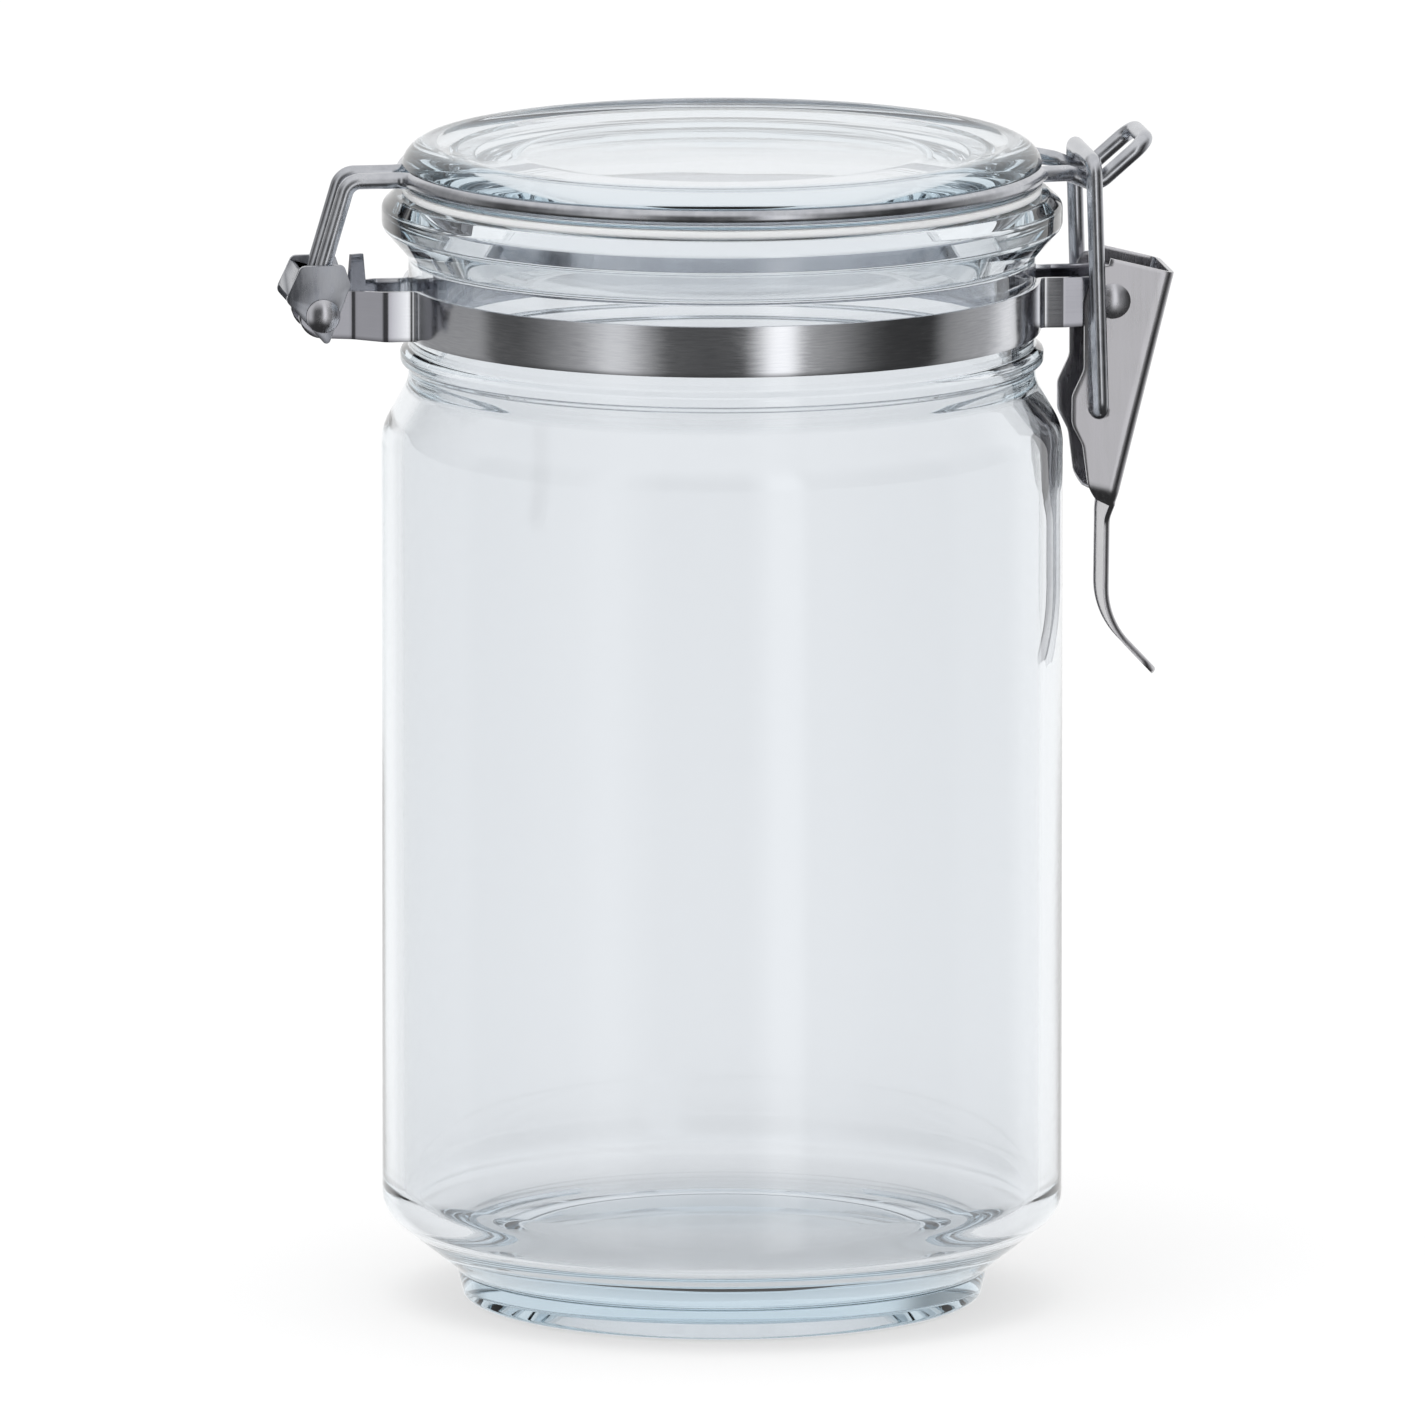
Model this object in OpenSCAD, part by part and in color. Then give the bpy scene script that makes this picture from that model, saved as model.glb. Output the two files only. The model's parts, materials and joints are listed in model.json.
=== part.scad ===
// Clip-top storage jar, in millimetres.
// A glass jar and a glass lid, a silicone gasket, and stainless wire and strip fittings.
// +Z is up. The origin is on the jar's axis, on the plane that its foot stands on.
// The hinge is at -X and the latch is at +X.

/* [Jar] */
// Outside radius of the body
body_r = 50; // [49:0.5:51]
// Outside radius of the neck, where the band sits
neck_r = 46; // [45.5:0.1:46.2]
// Inside radius of the mouth
mouth_r = 42; // [41.5:0.1:42.2]
// Outside radius of the rim at its widest
rim_r = 49.9; // [49:0.1:50.2]
// Height of the flat top of the rim
rim_top = 164.1; // [163.5:0.1:164.5]
// Thickness of the body wall
wall = 3; // [2.5:0.1:3.5]
// Height of the floor inside the jar
floor_z = 10.2; // [10:0.1:10.6]

/* [Lid] */
// Outside radius of the lid
lid_r = 47.1; // [47:0.1:47.3]
// Thickness of the lid at its edge
lid_t = 5.9; // [5.8:0.1:6.2]
// Radius of the flat recess in the top, which takes another jar's foot
recess_r = 38.9; // [38.7:0.1:39.2]
// Depth of the recess in the top
recess_depth = 0.8; // [0.6:0.1:1]
// Thickness of the gasket when the jar is shut
gasket_t = 1.5; // [1.4:0.1:1.6]

/* [Wire] */
// Diameter of the lid wire and of the latch wire
wire_d = 2.4; // [2.2:0.1:2.4]
// Radius of the wire ring round the lid, to the wire's centre
ring_r = 46.6; // [46.5:0.05:46.7]
// Half the distance between the two legs that go down to the hinge
hinge_leg_y = 3.8; // [3.7:0.05:3.8]
// Half the distance between the two strands of the catch loop
catch_y = 6.6; // [6.2:0.1:6.8]
// Half the distance between the legs of the latch wire
latch_leg_y = 9.9; // [9.8:0.1:10.4]

/* [Band] */
// Height of the strip round the neck
band_h = 7.4; // [7:0.1:7.6]
// Thickness of the strip
band_t = 0.7; // [0.6:0.05:0.7]
// Height of the strip's lower edge
band_z = 143.9; // [143.5:0.1:144]

/* [Hinge and latch] */
// Distance from the jar's axis to the hinge rivet
hinge_x = 59.7; // [59.5:0.1:60]
// Distance from the jar's axis to the latch rivet
latch_x = 56.8; // [56.6:0.1:57]
// Height of both rivets
pivot_z = 147.8; // [147.6:0.1:148]
// Radius of both rivets' shanks
rivet_r = 1.55; // [1.4:0.05:1.6]
// Thickness of the lever's and the clip's sheet steel
sheet_t = 0.8; // [0.7:0.05:0.8]

/* [Hidden] */
$fn = 96;

glass_colour = [0.80, 0.88, 0.88, 0.45];
silicone_colour = [0.93, 0.94, 0.93];
steel_colour = [0.72, 0.73, 0.75];
wire_colour = [0.62, 0.64, 0.67];

arc_steps = 6;              // chords in each rounded corner of an outline
run_fit = 0.05;             // radial clearance of a pin in its hole
side_gap = 0.2;             // gap between flat plates that turn past each other
nest = 0.004;               // how much thinner a bend is than the straights it starts in
tuck = 0.03;                // how far the straights run on over its ends

wire_r = wire_d / 2;
lid_z = rim_top + gasket_t;             // underside of the lid's edge
lid_top = lid_z + lid_t;
wire_z = lid_z + 1.75;                  // the lid's groove, and the wire in it
band_r = neck_r + run_fit + band_t / 2; // middle of the strip's thickness

// Half distances across the hinge and the latch, from the middle outwards
hinge_ear_y = 4.55;                                  // middle of the hinge ears' thickness
clip_in = hinge_leg_y + wire_r + run_fit;            // inner faces of the clip's plates
clip_out = clip_in + sheet_t;
latch_ear_y = 6.35;                                  // middle of the latch ears' thickness
lever_in = latch_ear_y + band_t / 2 + side_gap;      // inner faces of the lever's plates
lever_out = lever_in + sheet_t;

// Where the latch wire turns on the lever, and where its crossbar lies
latch_pivot = [54.7, 131.6];
crossbar = [53.6, 168.7];

// ---- Outlines and paths ----

function unit(v) = v / norm(v);

function spin(v, a) = [v.x * cos(a) - v.y * sin(a), v.x * sin(a) + v.y * cos(a)];

// One corner [x, y, radius] between its neighbours, as the points of its arc
function corner(a, p, b) =
    let (here = [p.x, p.y],
         u = unit(here - [a.x, a.y]),
         v = unit([b.x, b.y] - here),
         side = sign(cross(u, v)),
         turn = acos(u * v))
    p.z == 0 || side == 0 ? [here] :
    let (start = here - u * p.z * tan(turn / 2),
         centre = start + spin(u, 90 * side) * p.z)
    [for (k = [0 : arc_steps]) centre + spin(start - centre, side * turn * k / arc_steps)];

// A closed outline from corners [x, y, radius]
function rounded(c) =
    [for (i = [0 : len(c) - 1])
        each corner(c[(i + len(c) - 1) % len(c)], c[i], c[(i + 1) % len(c)])];

// An open line from the same corners, whose two ends stay as they are
function rounded_line(c) =
    concat([[c[0].x, c[0].y]],
           [for (i = [1 : len(c) - 2]) each corner(c[i - 1], c[i], c[i + 1])],
           [[c[len(c) - 1].x, c[len(c) - 1].y]]);

// The line moved sideways by d, to its left
function beside(line, d) =
    [for (i = [0 : len(line) - 1])
        let (before = unit(line[max(i, 1)] - line[max(i, 1) - 1]),
             after = unit(line[min(i, len(line) - 2) + 1] - line[min(i, len(line) - 2)]),
             middle = unit(before + after))
        line[i] + spin(middle, 90) * d / (middle * before)];

function backwards(line) = [for (i = [len(line) - 1 : -1 : 0]) line[i]];

// A strip of thickness t along an open line of corners
module strip(corners, t) {
    line = rounded_line(corners);
    polygon(concat(beside(line, t / 2), backwards(beside(line, -t / 2))));
}

// Carries an XZ outline, extruded from y = y0 to y = y1
module across(y0, y1) {
    translate([0, y1, 0]) rotate([90, 0, 0]) linear_extrude(y1 - y0) children();
}

// The same plate at +y and at -y, between the two half distances
module plate_pair(inner, outer) {
    across(inner, outer) children();
    across(-outer, -inner) children();
}

// A cylinder that lies along Y
module cross_pin(x, z, r, y0, y1) {
    translate([x, y1, z]) rotate([90, 0, 0]) cylinder(r = r, h = y1 - y0);
}

module place(origin, ex, ey, ez) {
    multmatrix([[ex.x, ey.x, ez.x, origin.x],
                [ex.y, ey.y, ez.y, origin.y],
                [ex.z, ey.z, ez.z, origin.z]]) children();
}

// A straight length of wire
module rod(a, b, r) {
    along = unit(b - a);
    side = unit(cross(abs(along.z) < 0.9 ? [0, 0, 1] : [1, 0, 0], along));
    place(a, side, cross(along, side), along) cylinder(r = r, h = norm(b - a));
}

// A bent wire through the points, with the same bend radius at each point between the ends.
// Each bend starts and ends inside its straights, so that they join as one solid.
module wire(points, bend, r) {
    last = len(points) - 1;
    ways = [for (i = [0 : last - 1]) unit(points[i + 1] - points[i])];
    turns = [for (i = [0 : last]) i == 0 || i == last ? 0 : acos(ways[i - 1] * ways[i])];
    trims = [for (t = turns) t == 0 ? 0 : bend * tan(t / 2) - tuck];
    for (i = [0 : last - 1])
        rod(points[i] + ways[i] * trims[i], points[i + 1] - ways[i] * trims[i + 1], r);
    for (i = [1 : last - 1]) {
        inward = unit(ways[i] - ways[i - 1]);
        centre = points[i] + inward * bend / cos(turns[i] / 2);
        out = unit(points[i] - ways[i - 1] * bend * tan(turns[i] / 2) - centre);
        place(centre, out, ways[i - 1], cross(out, ways[i - 1]))
            rotate_extrude(angle = turns[i]) translate([bend, 0]) circle(r = r - nest);
    }
}

// The same points from the last to the first, on the other side of the XZ plane
function returning(points) =
    [for (i = [len(points) - 1 : -1 : 0]) [points[i].x, -points[i].y, points[i].z]];

// ---- Glass and gasket ----

module jar_glass() {
    in_r = body_r - wall;
    color(glass_colour)
    rotate_extrude() polygon(rounded([
        // underside and foot
        [0, 2.6, 0], [30, 2.6, 4], [34.6, 0, 1.5], [38, 0, 1.2], [39.2, 4.8, 1.4],
        // heel, body and shoulder
        [body_r, 13.4, 5], [body_r, 129, 8], [neck_r, 136.4, 5],
        // bead under the band, and neck
        [neck_r, 138.7, 0.5], [neck_r + 1.2, 139.4, 0.6], [neck_r + 1.2, 140.8, 0.6],
        [neck_r, 141.7, 0.5], [neck_r, 155, 2],
        // rim
        [rim_r, 159.4, 1.5], [rim_r, 162.4, 1.2], [rim_r - 1.9, rim_top, 0.8],
        [mouth_r + 1, rim_top, 0.6], [mouth_r, rim_top - 1.2, 1],
        // inside
        [mouth_r, 137.2, 6], [in_r, 128.6, 7], [in_r, floor_z, 8], [0, floor_z, 0]
    ]));
}

module lid_glass() {
    recess_z = lid_top - recess_depth;
    plug_z = lid_z - 2.8;
    color(glass_colour)
    difference() {
        rotate_extrude() polygon(rounded([
            [0, lid_z - 0.2, 0], [30, lid_z - 0.2, 6], [36.4, plug_z, 1.2],
            [39.8, plug_z, 0.8], [41.2, lid_z, 0.2], [lid_r, lid_z, 0.3],
            [lid_r, lid_top, 4], [recess_r + 3, lid_top, 3],
            [recess_r, recess_z, 2], [0, recess_z, 0]
        ]));
        // groove for the wire
        translate([0, 0, wire_z]) rotate_extrude() {
            groove_r = wire_r + run_fit;
            translate([ring_r, 0]) circle(r = groove_r);
            translate([ring_r, -groove_r]) square([lid_r - ring_r + 1, 2 * groove_r]);
        }
    }
}

module gasket() {
    color(silicone_colour)
    rotate_extrude() polygon(rounded([
        [41.5, rim_top, 0.4], [46.9, rim_top, 0.55], [46.9, lid_z, 0.55], [41.5, lid_z, 0.4]
    ]));
}

// ---- Lid wire and hinge clip ----

// The clip's outline in the XZ plane, from its top outer corner round to its top inner one
clip_outline = [[-62.9, 155.2, 1], [-65.2, 150.2, 1], [-59, 143.2, 0.6],
                [-55.6, 152.4, 1], [-56.6, 155.3, 0.8]];

module hinge_clip() {
    top = [clip_outline[0].x, clip_outline[0].y];
    low = [clip_outline[1].x, clip_outline[1].y];
    // the fold joins the plates along the clip's outer edge
    along = unit(low - top);
    inward = spin(along, 90) * sheet_t;
    color(steel_colour)
    difference() {
        union() {
            plate_pair(clip_in, clip_out) polygon(rounded(clip_outline));
            across(-clip_in, clip_in) polygon([
                top + along * 0.7, low - along * 0.8,
                low - along * 0.8 + inward, top + along * 0.7 + inward
            ]);
        }
        cross_pin(-hinge_x, pivot_z, rivet_r + run_fit, -clip_out - 1, clip_out + 1);
    }
}

module lid_wire() {
    left_a = 171.5;             // ring angle where a hinge leg leaves it
    right_a = 15.5;             // ring angle where a catch strand leaves it
    left = [ring_r * cos(left_a), ring_r * sin(left_a), wire_z];
    right = [ring_r * cos(right_a), ring_r * sin(right_a), wire_z];
    left_way = [sin(left_a), -cos(left_a), 0];
    right_way = [sin(right_a), -cos(right_a), 0];
    // down from the ring to the valley that the crossbar sits in, then up to the loop's end
    strand = [right - right_way * tuck, right + right_way * 1.6, [50.3, 7.1, wire_z - 0.5],
              [54.5, catch_y, 165], [61.9, catch_y, 171.4]];
    color(wire_colour) {
        wire(concat(strand, returning(strand)), 2.6, wire_r);
        for (side = [0, 1]) mirror([0, side, 0]) {
            // hinge leg, from inside the clip up and over to the ring
            wire([[-60.1, hinge_leg_y, 152.6], [-55.7, hinge_leg_y, wire_z],
                  left - left_way * (left.y - hinge_leg_y) / left_way.y,
                  left + left_way * tuck], 2.4, wire_r);
            rotate([0, 0, right_a]) translate([0, 0, wire_z])
                rotate_extrude(angle = left_a - right_a)
                    translate([ring_r, 0]) circle(r = wire_r - nest);
        }
    }
}

// ---- Neck band, rivets and spacers ----

// Outline of one ear in the XZ plane, at the hinge or at the latch. x is the rivet's distance
// from the jar's axis. The upright tab stops the clip.
module ear_outline(x, end_r, tab) {
    top = band_z + band_h;
    tip = x + end_r;
    polygon(rounded(concat(
        [[0, band_z, 0], [tip, pivot_z - end_r, end_r - 0.1], [tip, pivot_z + end_r, end_r - 0.1]],
        tab ? [[54.6, pivot_z + end_r, 0.4], [54.2, 155.2, 0.6], [52.4, 155.2, 0.6],
               [52, top, 0.4]] : [],
        [[0, top, 0]])));
}

// Half of the band, at +y, with its hinge ear at -X and its latch ear at +X
module band_half(tab) {
    hinge_a = 10;               // angles where the strip leaves the neck
    latch_a = 9.5;
    run_on = 1.6;               // how far it goes straight on before it bends outwards
    hinge_end = band_r * [-cos(hinge_a), sin(hinge_a)];
    hinge_way = [-sin(hinge_a), -cos(hinge_a)];
    latch_end = band_r * [cos(latch_a), sin(latch_a)];
    latch_way = [sin(latch_a), -cos(latch_a)];
    difference() {
        union() {
            rotate([0, 0, latch_a]) translate([0, 0, band_z])
                rotate_extrude(angle = 180 - hinge_a - latch_a)
                    translate([band_r - band_t / 2, 0]) square([band_t, band_h]);
            ear_strip([[-hinge_x - 4, hinge_ear_y, 0], [-55, hinge_ear_y, 2], [-50.6, 6.6, 2],
                       concat(hinge_end + hinge_way * run_on, 1.2),
                       concat(hinge_end - hinge_way * tuck, 0)])
                mirror([1, 0, 0]) across(0, 12) ear_outline(hinge_x, 3.4, tab);
            ear_strip([concat(latch_end - latch_way * tuck, 0),
                       concat(latch_end + latch_way * run_on, 1.2),
                       [49.6, latch_ear_y, 1.5], [latch_x + 4, latch_ear_y, 0]])
                across(0, 12) ear_outline(latch_x, 3.5, false);
        }
        cross_pin(-hinge_x, pivot_z, rivet_r + run_fit, 0, 12);
        cross_pin(latch_x, pivot_z, rivet_r + run_fit, 0, 12);
    }
}

// The part of an upright strip that lies within its outline
module ear_strip(corners) {
    intersection() {
        translate([0, 0, band_z - 2]) linear_extrude(band_h + 8) strip(corners, band_t - 2 * nest);
        children();
    }
}

module neck_band_rear() { color(steel_colour) band_half(true); }

module neck_band_front() { color(steel_colour) mirror([0, 1, 0]) band_half(false); }

// A rivet with a domed head outside each plate. grip is half the length between its heads.
module rivet(x, grip, head_r, head_h) {
    dome_r = (head_r * head_r + head_h * head_h) / (2 * head_h);
    cross_pin(x, pivot_z, rivet_r, -grip - 0.1, grip + 0.1);
    for (side = [-1, 1]) translate([x, side * grip, pivot_z]) rotate([-90 * side, 0, 0])
        intersection() {
            translate([0, 0, head_h - dome_r]) sphere(r = dome_r);
            cylinder(r = head_r + 1, h = head_h + 1);
        }
}

module hinge_rivet() { color(steel_colour) rivet(-hinge_x, clip_out + run_fit, 2.5, 0.8); }

module latch_rivet() { color(steel_colour) rivet(latch_x, lever_out + run_fit, 2.6, 0.6); }

// A tube on the rivet's shank between the two ears
module spacer(x, half) {
    difference() {
        cross_pin(x, pivot_z, rivet_r + 0.9, -half, half);
        cross_pin(x, pivot_z, rivet_r + run_fit, -half - 1, half + 1);
    }
}

module hinge_spacer() { color(steel_colour) spacer(-hinge_x, hinge_ear_y - band_t / 2); }

module latch_spacer() { color(steel_colour) spacer(latch_x, latch_ear_y - band_t / 2); }

// ---- Latch ----

// The lever's back, from its top down to the end of its curved tail, in the XZ plane
lever_back = [[65.7, 152, 0], [56.5, 115.2, 6], [56.3, 99.9, 12], [63.6, 92.1, 0]];

// The lever seen from outside, in the YZ plane: wide channel, narrow tail with a round end
lever_front = [[-lever_out, 160, 0], [-lever_out, 121, 6], [-4.6, 112, 6], [-4.6, 91, 2.6],
               [4.6, 91, 2.6], [4.6, 112, 6], [lever_out, 121, 6], [lever_out, 160, 0]];

lever_side = [[54.3, 153.4, 2.2], [66.1, 151.4, 1.6], [57, 115.2, 0.4], [53.4, 118.6, 1.5],
              [52.4, 126.5, 3], [50.8, 129.6, 2], [50.8, 133.8, 2], [52.6, 137.6, 3],
              [52.6, 147.5, 3]];

module lever() {
    color(steel_colour)
    difference() {
        union() {
            plate_pair(lever_in, lever_out) polygon(rounded(lever_side));
            intersection() {
                across(-lever_out, lever_out) strip(lever_back, sheet_t);
                translate([40, 0, 0]) rotate([90, 0, 90]) linear_extrude(40)
                    polygon(rounded(lever_front));
            }
        }
        cross_pin(latch_x, pivot_z, rivet_r + run_fit, -lever_out - 1, lever_out + 1);
        cross_pin(latch_pivot.x, latch_pivot.y, wire_r + run_fit, -lever_out - 1, lever_out + 1);
    }
}

module latch_wire() {
    half = [[latch_pivot.x, lever_in - 0.6, latch_pivot.y],
            [latch_pivot.x, latch_leg_y, latch_pivot.y], [crossbar.x, latch_leg_y, crossbar.y]];
    color(wire_colour) wire(concat(half, returning(half)), 1.9, wire_r);
}

jar_glass();
neck_band_front();
neck_band_rear();
hinge_rivet();
hinge_spacer();
latch_rivet();
latch_spacer();
lid_glass();
gasket();
lid_wire();
hinge_clip();
lever();
latch_wire();
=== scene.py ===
"""A clip-top glass jar: the looks of its thirteen pieces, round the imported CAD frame.

Shapes are given in millimetres, in the CAD model's own frame, and turned into metres where
a mesh is made. +Z is up, the hinge is at -X and the latch is at +X.
"""

import json
import math

import bpy
import numpy as np
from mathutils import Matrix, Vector


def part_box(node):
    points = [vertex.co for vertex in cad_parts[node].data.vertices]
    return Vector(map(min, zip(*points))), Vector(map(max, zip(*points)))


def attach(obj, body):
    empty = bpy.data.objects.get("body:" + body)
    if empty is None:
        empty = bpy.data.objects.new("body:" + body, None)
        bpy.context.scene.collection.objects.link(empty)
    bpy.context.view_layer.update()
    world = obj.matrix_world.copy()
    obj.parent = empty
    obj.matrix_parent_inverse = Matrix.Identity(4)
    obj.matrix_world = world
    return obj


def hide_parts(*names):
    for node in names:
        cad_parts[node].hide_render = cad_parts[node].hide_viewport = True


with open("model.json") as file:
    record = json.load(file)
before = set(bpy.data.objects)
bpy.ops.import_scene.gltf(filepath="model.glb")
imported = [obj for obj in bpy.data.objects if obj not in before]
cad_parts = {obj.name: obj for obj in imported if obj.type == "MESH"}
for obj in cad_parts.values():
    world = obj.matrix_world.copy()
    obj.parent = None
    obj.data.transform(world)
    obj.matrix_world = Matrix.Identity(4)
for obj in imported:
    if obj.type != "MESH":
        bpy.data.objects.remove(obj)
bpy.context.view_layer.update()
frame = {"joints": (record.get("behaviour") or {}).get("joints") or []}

MM = 0.001
ROUND = 192              # sides of a turned piece
WIRE_SIDES = 32          # sides of a wire
CORNER_STEPS = 10        # chords in a rounded corner
FIT = 0.05               # clearance of a pin in its hole
PIN_R = 1.55             # a rivet's shank
PIN_HOLE_R = PIN_R + FIT
GASKET_GAP = 0.04        # keeps the gasket clear of the glass above and below it


# ---------------------------------------------------------------- sizes, from the frame

def node_box(node):
    """A CAD node's lowest and highest corners, in millimetres."""
    low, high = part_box(node)
    return np.array(low) / MM, np.array(high) / MM


def joint_place(name):
    """Where a joint's axis crosses the XZ plane, in millimetres."""
    joint = next(j for j in frame["joints"] if j["name"] == name)
    return np.array([joint["pos_m"][0], joint["pos_m"][2]]) / MM


jar_high = node_box("jar_glass")[1]
lid_high = node_box("lid_glass")[1]
gasket_high = node_box("gasket")[1]
latch_high = node_box("latch_wire")[1]
lever_high = node_box("lever")[1]
clip_high = node_box("hinge_clip")[1]
band_low, band_high = node_box("neck_band_front")
HINGE = joint_place("lid_hinge")
LATCH = joint_place("lever_hinge")
LATCH_PIN = joint_place("latch_wire_pivot")

BODY_R = jar_high[0]
RIM_TOP = jar_high[2]
NECK_R = BODY_R - 4
MOUTH_R = BODY_R - 8
LID_TOP = lid_high[2]
LID_R = lid_high[0]
LID_Z = gasket_high[2]
WIRE_R = 1.2
WIRE_Z = LID_Z + 1.75
RING_R = 46.6
BAND_Z = band_low[2]
BAND_TOP = band_high[2]
BAND_T = 0.7
SHEET_T = 0.8
HINGE_LEG_Y = 3.8
HINGE_EAR_Y = 4.55
LATCH_EAR_Y = 6.35
LATCH_LEG_Y = latch_high[1] - WIRE_R
LEVER_OUT = lever_high[1]
CLIP_OUT = clip_high[1]


# ---------------------------------------------------------------- lines and outlines

def unit(v):
    return v / np.linalg.norm(v)


def corner(before, here, after, radius, steps=CORNER_STEPS):
    """The points of a corner rounded to radius, in two or three dimensions."""
    u, v = unit(here - before), unit(after - here)
    turn = math.acos(max(-1.0, min(1.0, float(u @ v))))
    if radius == 0 or turn < 1e-4:
        return [here]
    centre = here + unit(v - u) * radius / math.cos(turn / 2)
    start = here - u * radius * math.tan(turn / 2) - centre
    end = here + v * radius * math.tan(turn / 2) - centre
    shares = np.linspace(0, 1, steps + 1)
    return [centre + (math.sin((1 - f) * turn) * start + math.sin(f * turn) * end)
            / math.sin(turn) for f in shares]


def rounded(corners, closed=True, steps=CORNER_STEPS):
    """The points of an outline given as corners (x, y, ..., radius)."""
    places = [np.array(c[:-1], float) for c in corners]
    last = len(corners) - 1
    out = []
    for i, c in enumerate(corners):
        if not closed and i in (0, last):
            out.append(places[i])
        else:
            after = places[(i + 1) % len(corners)]
            out += corner(places[i - 1], places[i], after, c[-1], steps)
    return np.array(out)


def spin(v, degrees):
    a = math.radians(degrees)
    return np.array([v[0] * math.cos(a) - v[1] * math.sin(a),
                     v[0] * math.sin(a) + v[1] * math.cos(a)])


# ---------------------------------------------------------------- meshes

def piece(name, points, faces, smooth_angle=38):
    """A mesh object from points in millimetres."""
    mesh = bpy.data.meshes.new(name)
    mesh.from_pydata([tuple(p * MM) for p in points], [], faces)
    mesh.validate()
    obj = bpy.data.objects.new(name, mesh)
    bpy.context.scene.collection.objects.link(obj)
    smooth(obj, smooth_angle)
    return obj


def smooth(obj, angle):
    mesh = obj.data
    mesh.polygons.foreach_set("use_smooth", [True] * len(mesh.polygons))
    mesh.set_sharp_from_angle(angle=math.radians(angle))


def turned(name, profile, along="z", centre=(0, 0, 0), sides=ROUND, ring=False):
    """A profile of (radius, height) turned about an axis. A ring's profile is closed."""
    angles = np.linspace(0, 2 * math.pi, sides, endpoint=False)
    circle = np.stack([np.cos(angles), np.sin(angles)], 1)
    points, rows = [], []
    for r, h in profile:
        at_axis = r < 1e-6
        first = len(points)
        for c, s in (circle[:1] if at_axis else circle):
            flat = (r * c, r * s, h) if along == "z" else (r * c, h, -r * s)
            points.append(np.array(flat) + centre)
        rows.append([first] * sides if at_axis else list(range(first, first + sides)))
    if ring:
        rows.append(rows[0])
    faces = []
    for low, high in zip(rows, rows[1:]):
        for i in range(sides):
            j = (i + 1) % sides
            quad = [low[i], low[j], high[j], high[i]]
            face = [q for k, q in enumerate(quad) if q != quad[k - 1]]
            if len(face) > 2:
                faces.append(face)
    return piece(name, points, faces)


def wire(name, path, radius):
    """A round wire along the points of path, with its ends eased."""
    ease = 0.15
    ways = [unit(b - a) for a, b in zip(path, path[1:])]
    tangents = [ways[0]] + [unit(a + b) for a, b in zip(ways, ways[1:])] + [ways[-1]]
    side = unit(np.cross(tangents[0], [0.3, 0.2, 0.9]))
    angles = np.linspace(0, 2 * math.pi, WIRE_SIDES, endpoint=False)
    points, rings = [], []

    def add_ring(place, tangent, r):
        up = np.cross(tangent, side)
        first = len(points)
        points.extend(place + r * (math.cos(a) * side + math.sin(a) * up) for a in angles)
        rings.append(range(first, first + WIRE_SIDES))

    last = len(path) - 1
    for i, (place, tangent) in enumerate(zip(path, tangents)):
        side = unit(side - tangent * (side @ tangent))
        if i == 0:
            add_ring(place, tangent, radius - ease)
            add_ring(place + tangent * ease, tangent, radius)
        elif i == last:
            add_ring(place - tangent * ease, tangent, radius)
            add_ring(place, tangent, radius - ease)
        else:
            add_ring(place, tangent, radius)
    faces = [[low[i], low[(i + 1) % WIRE_SIDES], high[(i + 1) % WIRE_SIDES], high[i]]
             for low, high in zip(rings, rings[1:]) for i in range(WIRE_SIDES)]
    faces += [list(reversed(rings[0])), list(rings[-1])]
    return piece(name, points, faces)


def baked(obj):
    """Applies the object's modifiers to its mesh."""
    seen = obj.evaluated_get(bpy.context.evaluated_depsgraph_get())
    mesh = bpy.data.meshes.new_from_object(seen)
    obj.modifiers.clear()
    obj.data = mesh
    return obj


def sheet_metal(name, grid, thickness, pins=(), edge=0.13):
    """Sheet bent to the grid of points, with holes where the pins (x, z, radius) pass along Y."""
    rows, columns = grid.shape[:2]
    faces = [[i * columns + j, (i + 1) * columns + j, (i + 1) * columns + j + 1,
              i * columns + j + 1] for i in range(rows - 1) for j in range(columns - 1)]
    obj = piece(name, grid.reshape(-1, 3), faces)
    solid = obj.modifiers.new("thickness", "SOLIDIFY")
    solid.thickness = thickness * MM
    solid.offset = 0
    solid.use_even_offset = True
    baked(obj)
    drill(obj, pins)
    bevel(obj, edge)
    return obj


def drill(obj, pins):
    for x, z, radius in pins:
        bit = turned("bit", [(0, -20), (radius, -20), (radius, 20), (0, 20)], along="y",
                     centre=np.array([x, 0, z]), sides=48)
        cut = obj.modifiers.new("hole", "BOOLEAN")
        cut.operation = "DIFFERENCE"
        cut.solver = "EXACT"
        cut.object = bit
        baked(obj)
        bpy.data.objects.remove(bit)


def bevel(obj, width, segments=2, angle=40):
    soft = obj.modifiers.new("edges", "BEVEL")
    soft.width = width * MM
    soft.segments = segments
    soft.limit_method = "ANGLE"
    soft.angle_limit = math.radians(angle)
    baked(obj)
    smooth(obj, 38)


# ---------------------------------------------------------------- materials

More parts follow.
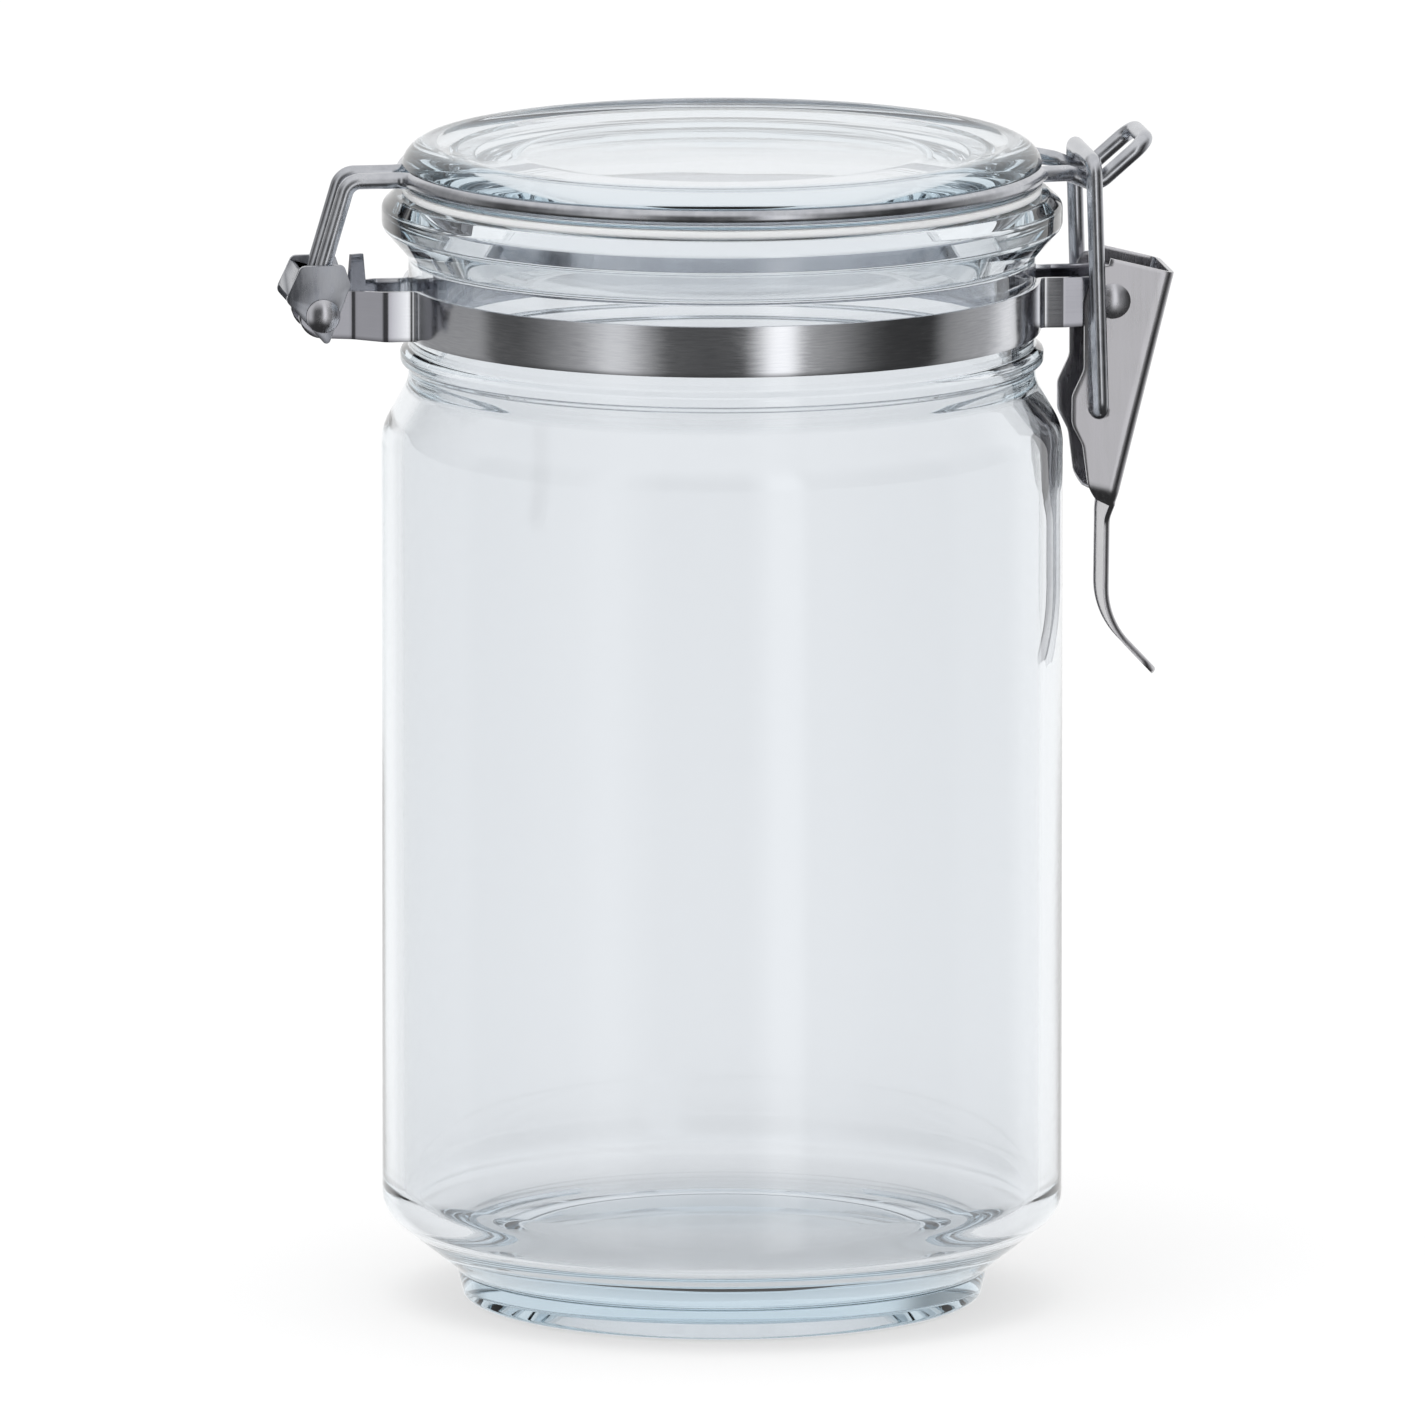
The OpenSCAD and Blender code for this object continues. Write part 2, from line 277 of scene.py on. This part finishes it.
class Nodes:
    """Short names for building a node tree."""

    def __init__(self, name):
        self.material = bpy.data.materials.new(name)
        self.material.use_nodes = True
        self.tree = self.material.node_tree
        self.shader = self.tree.nodes["Principled BSDF"]
        self.output = self.tree.nodes["Material Output"]

    def add(self, kind, **values):
        node = self.tree.nodes.new(kind)
        for key, value in values.items():
            if hasattr(node, key):
                setattr(node, key, value)
            else:
                node.inputs[key.replace("_", " ")].default_value = value
        return node

    def link(self, source, target):
        self.tree.links.new(source, target)

    def math(self, operation, a, b):
        node = self.add("ShaderNodeMath", operation=operation)
        for socket, value in zip(node.inputs, (a, b)):
            if isinstance(value, (int, float)):
                socket.default_value = value
            else:
                self.link(value, socket)
        return node.outputs[0]

    def noise(self, vector, scale, detail=3.0, roughness=0.5):
        node = self.add("ShaderNodeTexNoise", Scale=scale, Detail=detail, Roughness=roughness)
        self.link(vector, node.inputs["Vector"])
        return node.outputs["Fac"]

    def spread(self, value, low, high, from_low=0.3, from_high=0.7):
        """Maps a noise value onto low to high."""
        node = self.add("ShaderNodeMapRange")
        for socket, v in zip(list(node.inputs)[1:5], (from_low, from_high, low, high)):
            socket.default_value = v
        self.link(value, node.inputs[0])
        return node.outputs[0]

    def stretched(self, scale):
        """Object coordinates scaled by three factors."""
        place = self.add("ShaderNodeTexCoord").outputs["Object"]
        node = self.add("ShaderNodeMapping")
        node.inputs["Scale"].default_value = scale
        self.link(place, node.inputs["Vector"])
        return node.outputs["Vector"]

    def round_the_axis(self, along, up):
        """Coordinates that run round the jar's axis, and up it."""
        place = self.add("ShaderNodeTexCoord").outputs["Object"]
        split = self.add("ShaderNodeSeparateXYZ")
        self.link(place, split.inputs[0])
        angle = self.math("ARCTAN2", split.outputs["Y"], split.outputs["X"])
        join = self.add("ShaderNodeCombineXYZ")
        self.link(self.math("MULTIPLY", angle, along), join.inputs["X"])
        self.link(self.math("MULTIPLY", split.outputs["Z"], up), join.inputs["Z"])
        return join.outputs[0]

    def reach(self):
        """Distance from the jar's axis."""
        split = self.add("ShaderNodeSeparateXYZ")
        self.link(self.add("ShaderNodeTexCoord").outputs["Object"], split.inputs[0])
        across = [self.math("POWER", split.outputs[axis], 2) for axis in "XY"]
        return self.math("SQRT", self.math("ADD", *across), 0)

    def tint(self, value, low, high):
        """A colour between low and high, which are colours or sockets."""
        node = self.add("ShaderNodeMix", data_type="RGBA")
        self.link(value, node.inputs["Factor"])
        colours = [s for s in node.inputs if s.type == "RGBA"]
        for socket, colour in zip(colours, (low, high)):
            if isinstance(colour, tuple):
                socket.default_value = (*colour, 1)
            else:
                self.link(colour, socket)
        return next(s for s in node.outputs if s.type == "RGBA")

    def bump(self, height, strength, distance):
        node = self.add("ShaderNodeBump", Strength=strength, Distance=distance * MM)
        self.link(height, node.inputs["Height"])
        return node.outputs["Normal"]


def glass_material(name, tint, absorb, density):
    """Pressed soda glass: nearly clear, pale blue where light runs a long way inside it."""
    n = Nodes(name)
    n.shader.inputs["Base Color"].default_value = (*tint, 1)
    n.shader.inputs["Transmission Weight"].default_value = 1
    n.shader.inputs["IOR"].default_value = 1.5
    place = n.stretched((1, 1, 1))
    smears = n.noise(place, 60, 4, 0.6)
    n.link(n.spread(smears, 0.0, 0.03, 0.5, 0.8), n.shader.inputs["Roughness"])
    waves = n.noise(n.stretched((1, 1, 0.3)), 30, 1.5, 0.4)
    n.link(n.bump(waves, 0.3, 0.5), n.shader.inputs["Normal"])
    volume = n.add("ShaderNodeVolumeAbsorption", Color=(*absorb, 1), Density=density)
    n.link(volume.outputs[0], n.output.inputs["Volume"])
    return n.material


def silicone_material():
    """Clear silicone: milky, soft and slightly dusty."""
    n = Nodes("clear_silicone")
    place = n.stretched((1, 1, 1))
    cloud = n.noise(place, 220, 3, 0.5)
    n.link(n.tint(cloud, (0.93, 0.94, 0.95), (1, 1, 1)), n.shader.inputs["Base Color"])
    n.shader.inputs["Transmission Weight"].default_value = 0.35
    n.shader.inputs["IOR"].default_value = 1.41
    n.link(n.spread(n.noise(place, 900, 3), 0.35, 0.5), n.shader.inputs["Roughness"])
    n.link(n.bump(n.noise(place, 1500, 2), 0.15, 0.05), n.shader.inputs["Normal"])
    return n.material


def steel_material(name, grain, low, high, rough, relief, ends_shade=None):
    """Stainless steel with a fine grain. grain gives the stretched coordinates, rough the
    lowest and highest roughness, and relief the depth of the grain in millimetres. The last
    argument is a darker colour painted on the ends past the ring of the neck, as painted shade."""
    n = Nodes(name)
    lines = n.noise(grain(n), 1.0, 4, 0.62)
    broad = n.noise(n.stretched((1, 1, 1)), 90, 3, 0.55)
    blend = n.math("MULTIPLY", n.math("ADD", lines, broad), 0.5)
    colour = n.tint(n.spread(blend, 0, 1, 0.38, 0.62), low, high)
    # Painted shade: past the ring of the neck, the colour turns to the darker one given for the
    # ends.
    if ends_shade:
        past = n.spread(n.reach(), 0, 1, *ENDS_SHADE_FROM_TO)
        colour = n.tint(past, colour, ends_shade)
    n.link(colour, n.shader.inputs["Base Color"])
    n.shader.inputs["Metallic"].default_value = 1
    n.link(n.spread(blend, rough[0], rough[1], 0.38, 0.62), n.shader.inputs["Roughness"])
    n.link(n.bump(lines, 0.5, relief), n.shader.inputs["Normal"])
    return n.material


GLASS = {"tint": (0.868, 0.879, 0.895), "absorb": (0.47, 0.70, 0.82), "density": 10}
ENDS_SHADE_FROM_TO = (0.0478, 0.0505)  # metres from the jar's axis over which painted shade darkens the strip's ends
jar_material = glass_material("jar_glass_clear", **GLASS)
lid_material = glass_material("lid_glass_clear", **GLASS)
gasket_material = silicone_material()
# The strip's ends get painted shade: a darker colour that dims the bright reflection they catch.
strip_material = steel_material("rolled_strip_steel", lambda n: n.round_the_axis(14, 4200),
                                (0.54, 0.55, 0.58), (0.67, 0.68, 0.705), (0.10, 0.19), 0.0016,
                                ends_shade=(0.33, 0.33, 0.36))
sheet_material = steel_material("pressed_sheet_steel", lambda n: n.stretched((1500, 1500, 60)),
                                (0.40, 0.395, 0.415), (0.50, 0.495, 0.515), (0.19, 0.30), 0.0015)
# Painted shade: the clip is the same sheet steel as the lever, coloured darker to stand in for
# shade on its plates.
clip_material = steel_material("clip_steel_painted_shade", lambda n: n.stretched((900, 900, 200)),
                               (0.24, 0.25, 0.28), (0.42, 0.43, 0.46), (0.22, 0.36), 0.003)
wire_material = steel_material("drawn_wire_steel", lambda n: n.stretched((420, 420, 420)),
                               (0.42, 0.43, 0.46), (0.56, 0.57, 0.60), (0.18, 0.28), 0.001)
rivet_material = steel_material("headed_rivet_steel", lambda n: n.stretched((700, 700, 700)),
                                (0.44, 0.44, 0.47), (0.56, 0.56, 0.59), (0.16, 0.30), 0.002)


def dress(obj, material, body, slot, *nodes):
    """Gives a piece its material and its body, and hides the CAD nodes that it stands for."""
    obj.data.materials.clear()
    obj.data.materials.append(material)
    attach(obj, body)
    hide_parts(*nodes)
    return obj


# ---------------------------------------------------------------- glass and gasket

def jar():
    in_r, floor_z = BODY_R - 3, 10.2
    rim_r = BODY_R - 0.1
    bead_r = NECK_R + 1.2
    profile = rounded([
        (0, 2.6, 0), (30, 2.6, 4), (34.6, 0, 1.5), (38, 0, 1.2), (39.2, 4.8, 1.4),
        (BODY_R, 13.4, 5), (BODY_R, 129, 8), (NECK_R, 136.4, 5),
        (NECK_R, 138.7, 0.5), (bead_r, 139.4, 0.6), (bead_r, 140.8, 0.6), (NECK_R, 141.7, 0.5),
        (NECK_R, 155, 2), (rim_r, 159.4, 1.5), (rim_r, 162.4, 1.2), (rim_r - 1.9, RIM_TOP, 0.8),
        (MOUTH_R + 1, RIM_TOP, 0.6), (MOUTH_R, RIM_TOP - 1.2, 1),
        (MOUTH_R, 137.2, 6), (in_r, 128.6, 7), (in_r, floor_z, 8), (0, floor_z, 0)],
        closed=False)
    return turned("jar_body", profile)


def lid():
    groove_r = WIRE_R + FIT
    recess_r, recess_z = 38.9, LID_TOP - 0.8
    plug_z = LID_Z - 2.8
    shoulder_r = 4
    lip_z = WIRE_Z + groove_r
    lip_a = math.asin((lip_z - LID_TOP + shoulder_r) / shoulder_r)
    groove = [(RING_R + groove_r * math.cos(a), WIRE_Z + groove_r * math.sin(a))
              for a in np.radians(np.linspace(270, 90, 19))]
    shoulder = [(LID_R - shoulder_r + shoulder_r * math.cos(a),
                 LID_TOP - shoulder_r + shoulder_r * math.sin(a))
                for a in np.linspace(lip_a, math.pi / 2, 16)]
    below = rounded([(0, LID_Z - 0.2, 0), (30, LID_Z - 0.2, 6), (36.4, plug_z, 1.2),
                     (39.8, plug_z, 0.8), (41.2, LID_Z, 0.2), (LID_R, LID_Z, 0.3),
                     (LID_R, WIRE_Z - groove_r, 0.1), (RING_R, WIRE_Z - groove_r, 0)],
                    closed=False)
    above = rounded([(*shoulder[-1], 0), (recess_r + 3, LID_TOP, 3), (recess_r, recess_z, 2),
                     (0, recess_z, 0)], closed=False)
    return turned("lid_disc", list(below) + groove[1:] + shoulder + list(above[1:]))


def gasket():
    inner, outer = 41.5, gasket_high[0]
    low, high = RIM_TOP + GASKET_GAP, LID_Z - GASKET_GAP
    profile = rounded([(inner, low, 0.4), (outer, low, 0.55), (outer, high, 0.55),
                       (inner, high, 0.4)])
    return turned("seal_ring", profile, ring=True)


# ---------------------------------------------------------------- lid wire and hinge clip

def mirrored(points):
    """The points from last to first, on the other side of the XZ plane."""
    return [p * [1, -1, 1] for p in reversed(points)]


def lid_wire():
    """One wire: a hinge leg, half the ring, the catch loop, the other half and the other leg."""
    left_a, right_a = 171.5, 15.5
    catch_y = 6.6
    on_ring = lambda a: np.array([RING_R * math.cos(math.radians(a)),
                                  RING_R * math.sin(math.radians(a)), WIRE_Z])
    way = lambda a: np.array([math.sin(math.radians(a)), -math.cos(math.radians(a)), 0])
    left, right = on_ring(left_a), on_ring(right_a)
    turn_in = left - way(left_a) * (left[1] - HINGE_LEG_Y) / way(left_a)[1]
    leg = rounded([(-60.1, HINGE_LEG_Y, 152.6, 0), (-55.7, HINGE_LEG_Y, WIRE_Z, 2.4),
                   (*turn_in, 2.4), (*left, 0)], closed=False)
    strand = rounded([(*right, 0), (*(right + way(right_a) * 1.6), 2.6),
                      (50.3, 7.1, WIRE_Z - 0.5, 2.6), (54.5, catch_y, 165, 2.6),
                      (61.9, catch_y, 171.4, 2.6), (61.9, 0, 171.4, 0)], closed=False)
    arc = [on_ring(a) for a in np.linspace(left_a, right_a, 80)[1:-1]]
    half = list(leg) + arc + list(strand[:-1])
    return wire("lid_ring_wire", half + mirrored(half), WIRE_R)


def flat_plate(outline, y, thickness):
    """Points and faces of a flat plate across Y, about the plane y."""
    count = len(outline)
    points = [np.array([p[0], y + side * thickness / 2, p[1]])
              for side in (-1, 1) for p in outline]
    faces = [list(range(count)), list(range(2 * count - 1, count - 1, -1))]
    faces += [[i, i + count, (i + 1) % count + count, (i + 1) % count] for i in range(count)]
    return points, faces


def hinge_clip():
    corners = [(-62.9, 155.2, 1), (-65.2, 150.2, 1), (-59, 143.2, 0.6), (-55.6, 152.4, 1),
               (-56.6, 155.3, 0.8)]
    top, low = np.array(corners[0][:2]), np.array(corners[1][:2])
    along = unit(low - top)
    inward = spin(along, 90) * SHEET_T
    points, faces = flat_plate(rounded(corners, steps=8), CLIP_OUT - SHEET_T / 2, SHEET_T)
    clip = piece("hinge_clip_plates", points, faces)
    others = [flat_plate(rounded(corners, steps=8), SHEET_T / 2 - CLIP_OUT, SHEET_T),
              flat_plate([top + along * 0.7, low - along * 0.8, low - along * 0.8 + inward,
                          top + along * 0.7 + inward], 0, 2 * CLIP_OUT - 0.3)]
    for points, faces in others:
        part = piece("part", points, faces)
        join = clip.modifiers.new("join", "BOOLEAN")
        join.operation = "UNION"
        join.solver = "EXACT"
        join.object = part
        baked(clip)
        bpy.data.objects.remove(part)
    drill(clip, [(HINGE[0], HINGE[1], PIN_HOLE_R)])
    bevel(clip, 0.16, 3)
    return clip


# ---------------------------------------------------------------- neck band, rivets, spacers

def ear_span(x, rivet, end_r):
    """The lowest and highest point of an ear at the distance x from the jar's axis."""
    if x > rivet[0]:
        half = math.sqrt(max(end_r ** 2 - (x - rivet[0]) ** 2, 0.3))
        return rivet[1] - half, rivet[1] + half
    share = max(0, min(1, (x - 50) / (rivet[0] - 50)))
    return (BAND_Z + share * (rivet[1] - end_r - BAND_Z),
            BAND_TOP + share * (rivet[1] + end_r - BAND_TOP))


def dense(points, step):
    """The same line with points no further apart than step."""
    out = [points[0]]
    for a, b in zip(points, points[1:]):
        count = max(1, math.ceil(np.linalg.norm(b - a) / step))
        out += [a + (b - a) * k / count for k in range(1, count + 1)]
    return out


def band_half(name, side, tab):
    """Half of the band, with its hinge ear and its latch ear, at +Y or -Y."""
    hinge_r, latch_r = 3.4, 3.5
    hinge_a, latch_a = math.radians(10), math.radians(9.5)
    band_r = NECK_R + FIT + BAND_T / 2
    hinge_end = band_r * np.array([-math.cos(hinge_a), math.sin(hinge_a)])
    hinge_way = np.array([-math.sin(hinge_a), -math.cos(hinge_a)])
    latch_end = band_r * np.array([math.cos(latch_a), math.sin(latch_a)])
    latch_way = np.array([math.sin(latch_a), -math.cos(latch_a)])
    hinge_tip, latch_tip = -HINGE[0] + hinge_r, LATCH[0] + latch_r
    ear = rounded([(-hinge_tip, HINGE_EAR_Y, 0), (-55, HINGE_EAR_Y, 2), (-50.6, 6.6, 2),
                   (*(hinge_end + hinge_way * 1.6), 1.2), (*hinge_end, 0)], closed=False)
    far = rounded([(*latch_end, 0), (*(latch_end + latch_way * 1.6), 1.2),
                   (49.6, LATCH_EAR_Y, 1.5), (latch_tip, LATCH_EAR_Y, 0)], closed=False)
    around = [band_r * np.array([math.cos(a), math.sin(a)])
              for a in np.linspace(math.pi - hinge_a, latch_a, 90)[1:-1]]
    path = dense(ear, 0.4) + around + dense(far, 0.4)
    rows = []
    for p in path:
        if p[0] < -48:
            low, high = ear_span(-p[0], (-HINGE[0], HINGE[1]), hinge_r)
        elif p[0] > 48:
            low, high = ear_span(p[0], LATCH, latch_r)
        else:
            low, high = BAND_Z, BAND_TOP
        if tab and -54.5 < p[0] < -52.1:
            high = 155.2
        rows.append([[p[0], side * p[1], z] for z in np.linspace(low, high, 9)])
    pins = [(HINGE[0], HINGE[1], PIN_HOLE_R), (LATCH[0], LATCH[1], PIN_HOLE_R)]
    return sheet_metal(name, np.array(rows), BAND_T, pins)


def rivet(name, place, grip, head_r, head_h):
    """A rivet across Y with a domed head at each end."""
    dome_r = (head_r ** 2 + head_h ** 2) / (2 * head_h)
    top = math.asin((head_r - 0.12) / dome_r)
    dome = [(dome_r * math.sin(a), grip + head_h - dome_r * (1 - math.cos(a)))
            for a in np.linspace(0, top, 14)]
    half = dome + list(rounded([(head_r, dome[-1][1] - 0.06, 0), (head_r, grip, 0.08),
                                (PIN_R, grip, 0), (PIN_R, 0, 0)], closed=False))
    profile = half[:-1] + [(r, -h) for r, h in reversed(half)]
    return turned(name, profile, along="y", centre=np.array([place[0], 0, place[1]]), sides=64)


def spacer(name, place, half):
    outer = PIN_R + 0.9
    profile = rounded([(PIN_HOLE_R, -half, 0.1), (outer, -half, 0.2), (outer, half, 0.2),
                       (PIN_HOLE_R, half, 0.1)], steps=4)
    return turned(name, profile, along="y", centre=np.array([place[0], 0, place[1]]),
                  sides=64, ring=True)


# ---------------------------------------------------------------- latch

def lever():
    """The lever as one folded sheet: side plates, back, and a curved tail."""
    fold = 1.1
    side_y = LEVER_OUT - SHEET_T / 2
    tail_y = 4.6
    back = dense(rounded([(65.65, 151.8, 0), (56.5, 115.2, 6), (56.3, 99.9, 12),
                          (63.6, 92.1, 0)], closed=False), 0.5)
    start, down = back[0], unit(back[4] - back[0])
    across = spin(down, -90)
    outline = rounded([(54.3, 153.4, 2.2), (66.1, 151.4, 1.6), (57, 115.2, 0.4),
                       (53.4, 118.6, 1.5), (52.4, 126.5, 3), (50.8, 129.6, 2),
                       (50.8, 133.8, 2), (52.6, 137.6, 3), (52.6, 147.5, 3)])
    placed = np.array([[(q - start) @ down, (q - start) @ across] for q in outline])
    edge = placed[placed[:, 1] > 1.4]
    edge = edge[np.argsort(edge[:, 0])]
    total = sum(np.linalg.norm(b - a) for a, b in zip(back, back[1:]))
    rows, s = [], 0.0
    for i, p in enumerate(back):
        if i:
            s += np.linalg.norm(p - back[i - 1])
        way = unit(back[min(i + 1, len(back) - 1)] - back[max(i - 1, 0)])
        inner = spin(way, -90)
        ease = min(1, max(0, (s - 33) / 6))
        ease = ease * ease * (3 - 2 * ease)
        depth = float(np.interp(s, edge[:, 0], edge[:, 1])) if s < edge[-1, 0] else 0
        depth = max(depth * (1 - ease), 0.55)
        half = side_y + (tail_y - side_y) * ease
        left = total - s
        if left < 2.6:
            half -= 2.6 - math.sqrt(max(2.6 ** 2 - (2.6 - left) ** 2, 0.2))
        bend = min(fold, depth * 0.8)
        row = [(half, depth + (bend - depth) * k / 12) for k in range(12)]
        row += [(half - bend + bend * math.cos(a), bend - bend * math.sin(a))
                for a in np.linspace(0, math.pi / 2, 9)]
        row += [((half - bend) * (1 - k / 6), 0) for k in range(1, 7)]
        row += [(-y, d) for y, d in reversed(row[:-1])]
        rows.append([[p[0] + inner[0] * d, y, p[1] + inner[1] * d] for y, d in row])
    pins = [(LATCH[0], LATCH[1], PIN_HOLE_R), (LATCH_PIN[0], LATCH_PIN[1], WIRE_R + FIT)]
    return sheet_metal("toggle_lever", np.array(rows), SHEET_T, pins)


def latch_wire():
    crossbar = (53.6, latch_high[2] - WIRE_R)
    half = rounded([(LATCH_PIN[0], LEVER_OUT - SHEET_T - 0.6, LATCH_PIN[1], 0),
                    (LATCH_PIN[0], LATCH_LEG_Y, LATCH_PIN[1], 1.9),
                    (crossbar[0], LATCH_LEG_Y, crossbar[1], 1.9),
                    (crossbar[0], 0, crossbar[1], 0)], closed=False)
    half = list(half[:-1])
    return wire("latch_loop_wire", half + mirrored(half), WIRE_R)


# ---------------------------------------------------------------- the pieces

dress(jar(), jar_material, "jar", "jar_glass", "jar_glass")
dress(lid(), lid_material, "lid", "lid_glass", "lid_glass")
dress(gasket(), gasket_material, "lid", "silicone", "gasket")
dress(lid_wire(), wire_material, "lid", "wire_steel", "lid_wire")
dress(hinge_clip(), clip_material, "lid", "sheet_steel", "hinge_clip")
dress(band_half("neck_band_back_half", 1, True), strip_material, "jar", "strip_steel",
      "neck_band_rear")
dress(band_half("neck_band_front_half", -1, False), strip_material, "jar", "strip_steel",
      "neck_band_front")
dress(rivet("hinge_pin", HINGE, CLIP_OUT + FIT, 2.5, 0.8), rivet_material, "jar",
      "rivet_steel", "hinge_rivet")
dress(spacer("hinge_tube", HINGE, HINGE_EAR_Y - BAND_T / 2), rivet_material, "jar",
      "rivet_steel", "hinge_spacer")
dress(rivet("latch_pin", LATCH, LEVER_OUT + FIT, 2.6, 0.6), rivet_material, "jar",
      "rivet_steel", "latch_rivet")
dress(spacer("latch_tube", LATCH, LATCH_EAR_Y - BAND_T / 2), rivet_material, "jar",
      "rivet_steel", "latch_spacer")
dress(lever(), sheet_material, "lever", "sheet_steel", "lever")
dress(latch_wire(), wire_material, "latch_wire", "wire_steel", "latch_wire")


# ---------------------------------------------------------------- studio

CAMERA_AZIMUTH, CAMERA_ELEVATION = -8.0, 9.6     # degrees
CAMERA_DISTANCE = 5.0                            # metres
FRAME_WIDTH = 0.2093                             # metres across the picture, at the jar's axis
AIM = (-1.4, 86.7)                               # millimetres to the right of the axis, and up


def camera():
    a, e = math.radians(CAMERA_AZIMUTH), math.radians(CAMERA_ELEVATION)
    back = Vector((math.sin(a) * math.cos(e), -math.cos(a) * math.cos(e), math.sin(e)))
    right = Vector((math.cos(a), math.sin(a), 0))
    data = bpy.data.cameras.new("camera")
    data.sensor_width = 36
    data.lens = data.sensor_width * CAMERA_DISTANCE / FRAME_WIDTH
    data.clip_start, data.clip_end = 0.1, 100
    cam = bpy.data.objects.new("camera", data)
    cam.location = right * AIM[0] * MM + Vector((0, 0, AIM[1] * MM)) + back * CAMERA_DISTANCE
    cam.rotation_mode = "QUATERNION"
    cam.rotation_quaternion = (-back).to_track_quat("-Z", "Y")
    bpy.context.scene.collection.objects.link(cam)
    bpy.context.scene.camera = cam


def floor():
    """A plain white floor. It glows, as a light table does, so shadows stay faint."""
    size, drop = 40, 0.0004
    mesh = bpy.data.meshes.new("floor")
    mesh.from_pydata([(-size, -size, -drop), (size, -size, -drop), (size, size, -drop),
                      (-size, size, -drop)], [], [[0, 1, 2, 3]])
    obj = bpy.data.objects.new("floor", mesh)
    bpy.context.scene.collection.objects.link(obj)
    n = Nodes("floor_white")
    n.shader.inputs["Base Color"].default_value = (0.3, 0.3, 0.3, 1)
    n.shader.inputs["Roughness"].default_value = 0.9
    n.shader.inputs["Specular IOR Level"].default_value = 0.0
    n.shader.inputs["Emission Color"].default_value = (1, 1, 1, 1)
    n.shader.inputs["Emission Strength"].default_value = 0.58
    obj.data.materials.append(n.material)
    obj.visible_glossy = False


class Sky(Nodes):
    """The world's node tree, with the direction that a ray leaves in."""

    def __init__(self, name):
        self.world = bpy.data.worlds.new(name)
        self.world.use_nodes = True
        bpy.context.scene.world = self.world
        self.tree = self.world.node_tree
        self.shader = self.tree.nodes["Background"]
        self.output = self.tree.nodes["World Output"]
        place = self.add("ShaderNodeTexCoord").outputs["Generated"]
        turn = self.add("ShaderNodeMapping")
        turn.inputs["Rotation"].default_value = (0, 0, -math.radians(CAMERA_AZIMUTH))
        self.link(place, turn.inputs["Vector"])
        split = self.add("ShaderNodeSeparateXYZ")
        self.link(turn.outputs["Vector"], split.inputs[0])
        to_camera = self.math("MULTIPLY", split.outputs["Y"], -1)
        self.angle = self.math("ARCTAN2", split.outputs["X"], to_camera)
        self.height = split.outputs["Z"]

    def round_about(self, stops):
        """Levels at angles to the right of the camera, in degrees, joined by straight ramps."""
        ramp = self.add("ShaderNodeValToRGB")
        elements = ramp.color_ramp.elements
        for degrees, level in stops:
            where = (degrees + 180) / 360
            if 0 < where < 1:
                stop = elements.new(where)
            else:
                stop = elements[0 if where == 0 else len(elements) - 1]
            stop.color = (level, level, level, 1)
        self.link(self.spread(self.angle, 0, 1, -math.pi, math.pi), ramp.inputs[0])
        return ramp.outputs[0]

    def blend(self, share, a, b):
        """a where share is 0 and b where it is 1. b may be a plain level."""
        node = self.add("ShaderNodeMix", data_type="RGBA")
        self.link(share, node.inputs["Factor"])
        colours = [s for s in node.inputs if s.type == "RGBA"]
        self.link(a, colours[0])
        if isinstance(b, (int, float)):
            colours[1].default_value = (b, b, b, 1)
        else:
            self.link(b, colours[1])
        return next(s for s in node.outputs if s.type == "RGBA")


def studio_light():
    """White behind the object. What metal reflects is a row of upright panels, bright above
    and dark below, and what glass bends into view from the camera's side is pale grey."""
    sky = Sky("studio")
    panels = sky.round_about([
        (-180, 1.0), (-152, 1.0), (-144, 0.40), (-98, 0.42), (-92, 0.12), (-78, 0.11),
        (-70, 0.2), (-52, 0.5), (-42, 0.95), (-36, 0.95), (-27, 0.45), (-20, 0.12), (8, 0.12),
        (13, 0.7), (18, 1.6), (25, 1.6), (30, 0.45), (42, 0.33), (54, 0.12), (62, 0.06),
        (82, 0.05), (90, 0.34), (112, 0.55), (124, 1.1), (140, 1.0), (180, 1.0)])
    upper = sky.blend(sky.spread(sky.height, 0, 1, 0.3, 0.8), panels, 1.0)
    shine = sky.blend(sky.spread(sky.height, 0, 1, -0.25, -0.6), upper, 0.06)
    behind = sky.round_about([(-180, 1), (-155, 1), (-140, 0), (140, 0), (155, 1), (180, 1)])
    shine = sky.blend(behind, shine, 1.0)
    around = sky.round_about([(-180, 1), (-105, 1), (-80, 0.86), (-40, 0.8), (40, 0.8),
                              (80, 0.86), (105, 1), (180, 1)])
    around = sky.blend(sky.spread(sky.height, 0, 1, 0.25, 0.6), around, 1.0)
    path = sky.add("ShaderNodeLightPath")
    seen = sky.blend(path.outputs["Is Glossy Ray"], around, shine)
    seen = sky.blend(path.outputs["Is Diffuse Ray"], seen, 1.5)
    seen = sky.blend(path.outputs["Is Camera Ray"], seen, 1.0)
    sky.link(seen, sky.shader.inputs["Color"])


def soft_lamp(name, place, size, power):
    data = bpy.data.lights.new(name, "AREA")
    data.energy = power
    data.size = size
    lamp = bpy.data.objects.new(name, data)
    lamp.location = place
    lamp.rotation_mode = "QUATERNION"
    lamp.rotation_quaternion = (-Vector(place)).to_track_quat("-Z", "Y")
    lamp.visible_camera = False
    lamp.visible_glossy = False
    lamp.visible_transmission = False
    bpy.context.scene.collection.objects.link(lamp)


camera()
floor()
studio_light()
soft_lamp("top_softbox", (-0.4, -0.6, 1.6), 1.0, 8)
scene = bpy.context.scene
scene.view_settings.view_transform = "Standard"
scene.cycles.max_bounces = 28            # light runs a long way inside the thick glass rims
scene.cycles.transmission_bounces = 28
scene.cycles.glossy_bounces = 12
